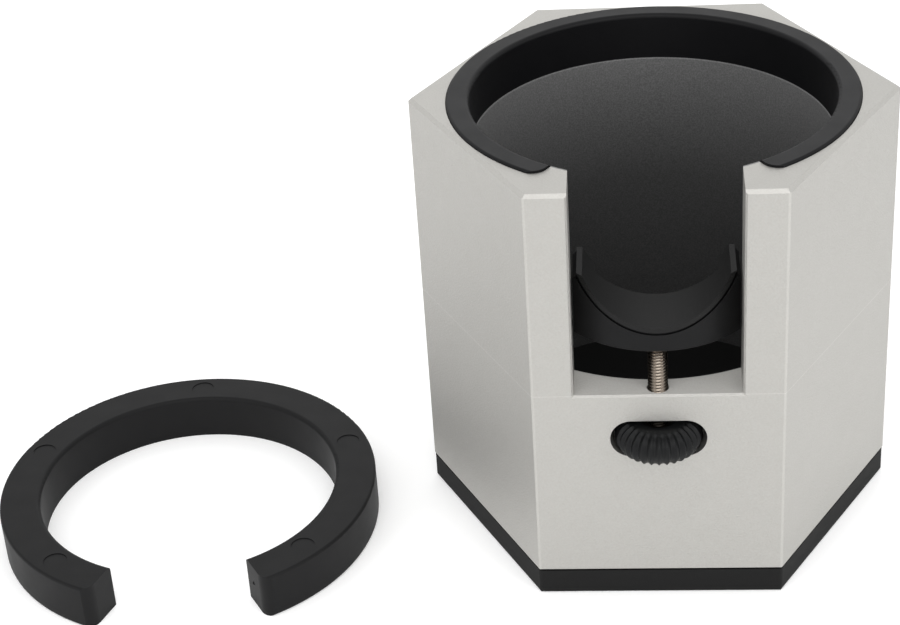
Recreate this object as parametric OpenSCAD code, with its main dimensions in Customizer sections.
// Tamping stand for an espresso portafilter: a hexagonal aluminium post with a bored
// well, a C-shaped seat ring let into its top, and a handle rest that climbs a slot in
// the front wall on a screw. A fluted thumbwheel, held in a window of the same wall,
// is the nut of that screw. A second, narrower seat ring lies beside the stand.
//
// Millimetres, +Z up, the slot and the thumbwheel face -Y.
// The origin is the centre of the base's underside.

/* [Housing] */
// Wall left between the seat ring's pocket and the middle of each flat
rim_wall = 1.1; // [0.8:0.1:4]
// Height of the post's top face above the table
housing_top = 92.8; // [86:0.1:110]
// Step from the fitted ring's inner wall in to the wall of the well, on the radius
well_step = 0.1; // [0:0.05:1]
// Chamfer round the top face
top_chamfer = 0.7; // [0.2:0.1:1]
// Chamfer round the lower end of the post
foot_chamfer = 0.1; // [0.1:0.1:0.8]
// Depth that is taken off the six upright edges
edge_break = 0.12; // [0.05:0.01:0.4]
// Chamfer where the well meets the flat faces
bore_chamfer = 0.3; // [0.1:0.05:0.5]

/* [Slot] */
// Width of the slot that the handle rest climbs in
slot_w = 32.8; // [28:0.1:38]
// Height of the ledge at the slot's lower end above the table
ledge_z = 48.3; // [46:0.1:54]
// Chamfer round the slot's mouth on the front face
slot_chamfer = 0.4; // [0.2:0.1:1]

/* [Window] */
// Width of the round-ended window that holds the thumbwheel
window_w = 19; // [18.6:0.1:22]
// Height of the window
window_h = 8.3; // [8:0.1:9]
// Height of the window's lower edge above the table
window_floor_z = 34; // [30:0.5:36]

/* [Base] */
// Thickness of the rubber foot under the post
base_h = 6; // [4:0.5:8]
// Step from the post's flats in to the foot's flats
base_inset = 0.1; // [0:0.1:1]
// Radius on the foot's six upright corners
base_corner_r = 1; // [0.5:0.5:4]
// Radius round the foot's lower edge
base_edge_r = 0.5; // [0.2:0.1:2]
// Height of the shadow line between the foot and the post
joint_line_h = 0.4; // [0.2:0.1:0.8]
// Depth of that line from the foot's flats
joint_line_depth = 0.8; // [0.3:0.1:1]
// Height of the round plug that grips the well's lower end
plug_h = 7; // [4:0.5:10]
// Gap round the plug
plug_gap = 0.1; // [0.05:0.05:0.3]
// Chamfer on the plug's upper edge
plug_chamfer = 0.5; // [0.2:0.1:1]

/* [Seat rings] */
// Outer diameter of the fitted seat ring
ring_od = 82.6; // [78:0.1:90]
// Wall of the fitted ring, which sets how wide the well is
ring_wall = 4.7; // [3:0.1:5.5]
// Height of both rings
ring_h = 10; // [7:0.5:12]
// How far the fitted ring stands above the top face
ring_proud = 0.5; // [0.2:0.1:1.5]
// Half of the angle that the fitted ring leaves open, from the front
seat_gap_angle = 32.3; // [30:0.1:38]
// Radius on the outer corner of each ring end, in plan
ring_end_r = 3.2; // [1:0.1:4]
// Radius on the ring's outer edges
ring_outer_edge_r = 0.6; // [0.2:0.1:1]
// Radius on the ring's inner top edge
ring_inner_edge_r = 0.9; // [0.2:0.1:1.2]
// Gap between the fitted ring and its pocket, all round
pocket_gap = 0.1; // [0.05:0.05:0.3]
// How much smaller the spare ring is than the fitted one, on the radius
adapter_slack = 0.6; // [0:0.1:1.2]
// Wall of the spare ring
adapter_wall = 8.7; // [5:0.1:12]
// Half of the angle that the spare ring leaves open
adapter_gap_angle = 26; // [24:0.5:34]
// Radius on the outer corner of each end of the spare ring
adapter_end_r = 2.6; // [1:0.1:3]
// Gap between the post's left corner and the spare ring on the table
adapter_apart = 11.6; // [5:0.1:30]
// Distance of the spare ring's centre in front of the post's centre
adapter_forward = 15.5; // [0:0.5:40]
// Turn of the spare ring as it lies
adapter_turn = 5; // [-20:1:20]
// Diameter of the ejector marks on the spare ring
mark_d = 5; // [3:0.5:6]
// Depth of the ejector marks
mark_depth = 0.15; // [0.1:0.05:0.4]

/* [Lift screw] */
// Diameter of the lift screw over its thread
screw_d = 4; // [3.5:0.1:4.2]
// Length of the lift screw
screw_len = 40; // [36:0.5:44]
// Running gap between the screw and the hole that it slides in
screw_gap = 0.08; // [0.05:0.01:0.1]
// Chamfer on that hole where it comes out in the ledge
hole_chamfer = 0.1; // [0.05:0.01:0.2]
// Length of screw that is set into the handle rest
screw_grip = 2.7; // [2:0.1:2.8]
// Chamfer on the screw's ends
screw_chamfer = 0.4; // [0.2:0.1:0.8]

/* [Thumbwheel] */
// Largest diameter of the thumbwheel
wheel_d = 17.6; // [16:0.1:18]
// Height of the thumbwheel, which is also the span of its round edge
wheel_h = 7.2; // [6.4:0.1:7.4]
// Number of flutes
flute_count = 30; // [24:1:40]
// Depth of the flutes
flute_depth = 0.5; // [0.2:0.05:0.6]
// Diameter of the dish in the thumbwheel's top
dish_d = 7.3; // [7:0.1:9]
// Depth of that dish
dish_depth = 0.6; // [0.3:0.1:1]
// Running gap between the screw and the thumbwheel's insert
thread_gap = 0.05; // [0.02:0.01:0.1]
// Outer diameter of the threaded insert in the thumbwheel
insert_d = 6; // [5.2:0.1:6.5]
// Chamfer at the upper end of the insert's thread
insert_lead_in = 0.3; // [0.1:0.05:0.4]

/* [Handle rest] */
// Height of the rest's underside above the ledge
rest_rise = 9.9; // [4:0.1:14]
// Sliding gap between the rest and each side of the slot
rest_gap = 0.3; // [0.3:0.05:0.5]
// Depth of the rest from its nose to the flat backs of its arms
rest_depth = 16.6; // [12:0.1:18]
// Width of the relief in the rest's back, between the arms
relief_w = 24; // [16:0.5:26]
// Depth of that relief
relief_depth = 3.6; // [1:0.1:5]
// Wall between the screw and the rest's nose
nose_wall = 1.1; // [0.8:0.1:2]
// Radius of the rounded nose, in plan
nose_r = 21; // [18:0.5:30]
// Thickness of the rest below the liner, at the bottom of the trough
rest_floor = 4.3; // [3:0.1:5]
// How far the trough in the block is wider than the block, on the radius
trough_wrap = 0.7; // [0.6:0.1:3]
// Depth of the trough
trough_depth = 8.8; // [7:0.1:11]
// Thickness of the rubber liner in the trough
liner_t = 1; // [0.8:0.1:1.3]
// Height by which the liner's edges stand above the rest's arms
liner_stand = 0.6; // [0.3:0.1:1.5]
// Width of the groove round the liner in the rest's nose
groove_w = 0.5; // [0.3:0.1:1]
// Depth of that groove
groove_depth = 0.4; // [0.3:0.1:1.2]
// Chamfer on the arms' outer edges
arm_chamfer = 1; // [0.4:0.1:1.2]
// Chamfer round the lower edge of the nose
nose_chamfer = 0.4; // [0.2:0.1:0.8]

/* [Hidden] */
$fn = 96;
// A cutter runs this far past what it cuts, and a mask overlaps by a hair.
over = 1;
eps = 0.01;

// The post's width across its flats follows the ring that it carries.
across_flats = ring_od + 2 * (pocket_gap + rim_wall);
flat_y = across_flats / 2;
corner_x = across_flats / sqrt(3);
far = 2 * across_flats;

// The fitted ring hangs in a pocket of its own outline, over the well.
ring_r = ring_od / 2;
seat_r = ring_r - ring_wall;
bore_r = seat_r - well_step;
pocket_z = housing_top + ring_proud - ring_h;

// The screw runs down the middle of the front wall.
screw_r = screw_d / 2;
screw_y = -(flat_y + bore_r) / 2;
hole_r = screw_r + screw_gap;

// The spare ring lies on the table beside the post.
adapter_r = ring_r - adapter_slack;
adapter_bore_r = adapter_r - adapter_wall;
adapter_x = -(corner_x + adapter_apart + adapter_r);
adapter_y = -adapter_forward;
mark_ring_r = adapter_r - adapter_wall / 2;
mark_angles = [-1, 66, -72, 135, -135];

// The thumbwheel's round edge is a half circle, as high as the wheel.
wheel_z = window_floor_z;
wheel_edge_r = wheel_h / 2;
wheel_flat_r = wheel_d / 2 - wheel_edge_r;
insert_r = insert_d / 2;
insert_h = wheel_h - dish_depth;
corner_cross = 0.15;
flute_steps = 8;
edge_steps = 12;

// The handle rest is a block whose outline is set by the slot, the screw and the nose.
rest_z = ledge_z + rest_rise;
rest_half_w = slot_w / 2 - rest_gap;
nose_y = screw_y - screw_r - nose_wall;
nose_centre_y = nose_y + nose_r;
rest_back_y = nose_y + rest_depth;
liner_outer_r = rest_half_w + trough_wrap;
trough_r = liner_outer_r - liner_t;
trough_z = rest_z + rest_floor + liner_outer_r;
liner_top_z = trough_z - trough_r + trough_depth;
arm_top_z = liner_top_z - liner_stand;
screw_top_z = rest_z + screw_grip;

// ---- shared shapes ----

// A hexagonal prism whose front flat faces -Y, made of three crossed bars.
// The children are one bar's cross-section: x across the flats, y up.
module crossed_bars() {
  intersection_for(turn = [0, 60, 120])
    rotate([90, 0, 90 + turn])
      linear_extrude(height = far, center = true) children();
}

// What has to be taken from a square corner at the origin to round it to radius r.
// The corner points to +x, +y.
module corner_bit(r) {
  difference() {
    translate([-r, -r]) square(r + eps);
    translate([-r, -r]) circle(r = r);
  }
}

// A point at distance r from the centre, at an angle from the front towards +X.
function from_front(r, angle) = [r * sin(angle), -r * cos(angle)];

// Plan of the space that an open ring may fill: a disc less a wedge at the front.
// The two ends are radial, and their outer corners have the radius end_r. The corner's
// circle crosses the ring's outer edge by corner_cross, because one that only touches
// it makes a poor solid.
module open_ring_plan(r_out, gap_angle, end_r) {
  reach = r_out + corner_cross;
  end_turn = asin(end_r / (reach - end_r));
  end_start = sqrt(pow(reach - end_r, 2) - pow(end_r, 2));
  end_centres = [for (side = [-1, 1])
                 from_front(reach - end_r, side * (gap_angle + end_turn))];
  difference() {
    circle(r = r_out + over);
    polygon([[0, 0], from_front(end_start, -gap_angle), end_centres[0],
             from_front(far, -gap_angle - end_turn),
             from_front(far, gap_angle + end_turn),
             end_centres[1], from_front(end_start, gap_angle)]);
  }
  for (centre = end_centres) translate(centre) circle(r = end_r);
}

// Cross-section of a ring, lowest point at y = 0.
module ring_section(r_in, r_out) {
  difference() {
    translate([r_in, 0]) square([r_out - r_in, ring_h]);
    translate([r_out, ring_h]) corner_bit(ring_outer_edge_r);
    translate([r_out, 0]) mirror([0, 1]) corner_bit(ring_outer_edge_r);
    translate([r_in, ring_h]) mirror([1, 0]) corner_bit(ring_inner_edge_r);
  }
}

module open_ring(r_in, r_out, gap_angle, end_r) {
  intersection() {
    rotate_extrude() ring_section(r_in, r_out);
    translate([0, 0, -eps])
      linear_extrude(height = ring_h + 2 * eps)
        open_ring_plan(r_out, gap_angle, end_r);
  }
}

// ---- housing ----

module post_blank() {
  foot_z = base_h + foot_chamfer;
  shoulder_z = housing_top - top_chamfer;
  edge_x = corner_x - edge_break;
  intersection() {
    crossed_bars()
      polygon([[foot_chamfer - flat_y, base_h], [flat_y - foot_chamfer, base_h],
               [flat_y, foot_z], [flat_y, shoulder_z],
               [flat_y - top_chamfer, housing_top], [top_chamfer - flat_y, housing_top],
               [-flat_y, shoulder_z], [-flat_y, foot_z]]);
    // A second hexagon, turned by half a side, takes the upright edges off.
    rotate([0, 0, 30])
      crossed_bars()
        translate([-edge_x, 0]) square([2 * edge_x, housing_top + over]);
  }
}

// A bevel that opens the well's rim at height z.
module bore_rim_cut(z) {
  rotate_extrude()
    polygon([[bore_r - over, z - bore_chamfer - over],
             [bore_r + bore_chamfer + over, z + over], [bore_r - over, z + over]]);
}

// The slot, open at the top and to the front, with its bevelled mouth.
module slot_cut() {
  half = slot_w / 2;
  top = housing_top + over;
  mouth = slot_chamfer + over;
  front_y = -flat_y - over;
  bevel_y = -flat_y + slot_chamfer;
  translate([-half, front_y, ledge_z])
    cube([slot_w, -front_y, top - ledge_z]);
  // Plan and side view of the mouth, crossed so that its bevels meet in a mitre.
  intersection() {
    linear_extrude(height = top)
      polygon([[-half, bevel_y], [-half - mouth, front_y],
               [half + mouth, front_y], [half, bevel_y]]);
    rotate([90, 0, 90])
      linear_extrude(height = far, center = true)
        polygon([[bevel_y, ledge_z], [front_y, ledge_z - mouth],
                 [front_y, top], [bevel_y, top]]);
  }
  // The bevel along the ledge's inner edge.
  intersection() {
    bore_rim_cut(ledge_z);
    translate([-half, -flat_y, ledge_z - 2 * over])
      cube([slot_w, flat_y, 3 * over]);
  }
}

module window_cut() {
  end_x = (window_w - window_h) / 2;
  mid_z = window_floor_z + window_h / 2;
  inner_y = -sqrt(pow(bore_r, 2) - pow(window_w / 2, 2));
  depth = inner_y + flat_y + 2 * over;
  translate([0, -flat_y - over, mid_z])
    rotate([-90, 0, 0])
      linear_extrude(height = depth) {
        square([2 * end_x, window_h], center = true);
        for (side = [-1, 1]) translate([side * end_x, 0]) circle(d = window_h);
      }
}

module pocket_plan() {
  open_ring_plan(ring_r + pocket_gap, seat_gap_angle - asin(pocket_gap / ring_r),
                 ring_end_r + pocket_gap);
}

// The pocket of the fitted ring, with a bevel where its floor meets the well.
module pocket_cut() {
  intersection() {
    translate([0, 0, pocket_z])
      cylinder(r = ring_r + pocket_gap, h = ring_h + over);
    translate([0, 0, pocket_z - over])
      linear_extrude(height = ring_h + 3 * over) pocket_plan();
  }
  intersection() {
    bore_rim_cut(pocket_z);
    translate([0, 0, pocket_z - 2 * over])
      linear_extrude(height = 3 * over) pocket_plan();
  }
}

// The hole that the screw slides in, from the ledge down through the window.
module screw_hole_cut() {
  translate([0, screw_y, base_h - over])
    cylinder(r = hole_r, h = ledge_z - base_h + 2 * over);
  translate([0, screw_y, ledge_z - hole_chamfer])
    cylinder(r1 = hole_r, r2 = hole_r + 2 * hole_chamfer, h = 2 * hole_chamfer);
}

module housing() {
  color([0.80, 0.80, 0.78])
    difference() {
      post_blank();
      translate([0, 0, base_h - over])
        cylinder(r = bore_r, h = housing_top - base_h + 2 * over);
      slot_cut();
      window_cut();
      pocket_cut();
      screw_hole_cut();
    }
}

// ---- base ----

// A hexagon with rounded corners, from its width across the flats.
module rounded_hexagon(width, r) {
  inner = width / 2 - r;
  corner = inner * 2 / sqrt(3);
  for (turn = [0, 60, 120])
    rotate(turn) square([corner, width], center = true);
  rotate(30) for (turn = [0, 60, 120])
    rotate(turn) square([2 * inner, corner], center = true);
  for (turn = [0:60:300])
    rotate(turn) translate([corner, 0]) circle(r = r);
}

module base() {
  foot_y = flat_y - base_inset;
  foot_top = base_h - joint_line_h;
  neck_y = foot_y - joint_line_depth;
  plug_r = bore_r - plug_gap;
  plug_top = base_h + plug_h;
  color([0.15, 0.15, 0.15]) {
    intersection() {
      crossed_bars()
        difference() {
          translate([-foot_y, 0]) square([2 * foot_y, foot_top]);
          for (side = [0, 1])
            mirror([side, 0])
              translate([foot_y, 0]) mirror([0, 1]) corner_bit(base_edge_r);
        }
      translate([0, 0, -eps])
        linear_extrude(height = foot_top + 2 * eps)
          rounded_hexagon(2 * foot_y, base_corner_r);
    }
    // The post stands on a neck that steps in, which leaves the shadow line.
    crossed_bars()
      translate([-neck_y, foot_top - over]) square([2 * neck_y, joint_line_h + over]);
    rotate_extrude()
      polygon([[0, base_h - over], [plug_r, base_h - over],
               [plug_r, plug_top - plug_chamfer], [plug_r - plug_chamfer, plug_top],
               [0, plug_top]]);
  }
}

// ---- seat rings ----

module seat_ring() {
  color([0.19, 0.19, 0.20])
    translate([0, 0, pocket_z])
      open_ring(seat_r, ring_r, seat_gap_angle, ring_end_r);
}

module adapter_ring() {
  color([0.18, 0.18, 0.19])
    translate([adapter_x, adapter_y, 0])
      rotate(adapter_turn)
        difference() {
          open_ring(adapter_bore_r, adapter_r, adapter_gap_angle, adapter_end_r);
          for (turn = mark_angles)
            rotate(turn)
              translate([0, mark_ring_r, ring_h - mark_depth])
                cylinder(d = mark_d, h = over);
        }
}

// ---- lift screw ----

module lift_screw() {
  color([0.72, 0.70, 0.66])
    translate([0, screw_y, screw_top_z - screw_len])
      rotate_extrude()
        polygon([[0, 0], [screw_r - screw_chamfer, 0], [screw_r, screw_chamfer],
                 [screw_r, screw_len - screw_chamfer],
                 [screw_r - screw_chamfer, screw_len], [0, screw_len]]);
}

// ---- thumbwheel ----

// One point of the fluted wheel's skin. Row 0 is the rim of the lower face and
// row edge_steps the rim of the upper one. The flutes fade out towards both.
function wheel_point(row, step) =
  let (climb = 180 * row / edge_steps - 90,
       fade = 1 - pow(sin(climb), 12),
       groove = (1 + cos(360 * step / flute_steps)) / 2,
       edge_r = wheel_edge_r - flute_depth * groove * fade,
       skin_r = wheel_flat_r + edge_r * cos(climb),
       turn = 360 * step / (flute_count * flute_steps))
  [skin_r * cos(turn), skin_r * sin(turn), wheel_edge_r + edge_r * sin(climb)];

module fluted_barrel() {
  around = flute_count * flute_steps;
  points = [for (row = [0:edge_steps]) for (step = [0:around - 1])
            wheel_point(row, step)];
  lower_face = [for (step = [0:around - 1]) step];
  upper_face = [for (step = [around - 1:-1:0]) edge_steps * around + step];
  skin = [for (row = [0:edge_steps - 1]) for (step = [0:around - 1])
          let (here = row * around + step,
               beside = row * around + (step + 1) % around)
          each [[here, here + around, beside],
                [beside, here + around, beside + around]]];
  polyhedron(points = points, faces = concat([lower_face], [upper_face], skin),
             convexity = 4);
}

module thumbwheel() {
  color([0.16, 0.17, 0.18])
    translate([0, screw_y, wheel_z])
      difference() {
        fluted_barrel();
        translate([0, 0, -over])
          cylinder(r = insert_r, h = wheel_h + 2 * over);
        translate([0, 0, insert_h])
          cylinder(d = dish_d, h = wheel_h);
      }
}

module wheel_insert() {
  insert_bore_r = screw_r + thread_gap;
  color([0.70, 0.58, 0.35])
    translate([0, screw_y, wheel_z])
      rotate_extrude()
        polygon([[insert_bore_r, 0], [insert_r, 0], [insert_r, insert_h],
                 [insert_bore_r + insert_lead_in, insert_h],
                 [insert_bore_r, insert_h - insert_lead_in]]);
}

// ---- handle rest ----

// Plan of the rest: flat sides, a round nose, and a back that steps in between the arms.
module rest_plan() {
  difference() {
    intersection() {
      translate([0, nose_centre_y]) circle(r = nose_r);
      translate([-rest_half_w, nose_y - over])
        square([2 * rest_half_w, rest_depth + over]);
    }
    translate([-relief_w / 2, rest_back_y - relief_depth])
      square([relief_w, relief_depth + over]);
  }
}

// A round bar that lies in the trough and runs past the rest's nose and back.
module along_trough(r, past = over) {
  translate([0, nose_y - past, trough_z])
    rotate([-90, 0, 0])
      cylinder(r = r, h = rest_depth + 2 * past);
}

module handle_rest() {
  color([0.17, 0.17, 0.18])
    difference() {
      translate([0, 0, rest_z])
        linear_extrude(height = arm_top_z - rest_z) rest_plan();
      along_trough(liner_outer_r);
      // The groove round the liner in the nose.
      difference() {
        along_trough(liner_outer_r + groove_w);
        translate([0, nose_centre_y, rest_z - over])
          cylinder(r = nose_r - groove_depth, h = far);
        translate([-far, rest_back_y - rest_depth / 2, 0])
          cube([2 * far, far, far]);
      }
      // The bevelled outer edges of the two arms.
      for (side = [0, 1])
        mirror([side, 0])
          translate([rest_half_w, 0, arm_top_z])
            rotate([0, 45, 0])
              cube([2 * arm_chamfer, far, sqrt(2) * arm_chamfer], center = true);
      // The bevel round the nose's lower edge.
      translate([0, nose_centre_y, rest_z])
        rotate_extrude()
          polygon([[nose_r - nose_chamfer - over, -over],
                   [nose_r + over, -over], [nose_r + over, nose_chamfer + over]]);
      translate([0, screw_y, rest_z - over])
        cylinder(r = screw_r, h = screw_grip + over);
    }
}

module rest_liner() {
  color([0.22, 0.22, 0.23])
    intersection() {
      difference() {
        along_trough(liner_outer_r);
        along_trough(trough_r, past = 2 * over);
      }
      translate([0, 0, rest_z])
        linear_extrude(height = liner_top_z - rest_z) rest_plan();
    }
}

housing();
base();
seat_ring();
adapter_ring();
lift_screw();
thumbwheel();
wheel_insert();
handle_rest();
rest_liner();
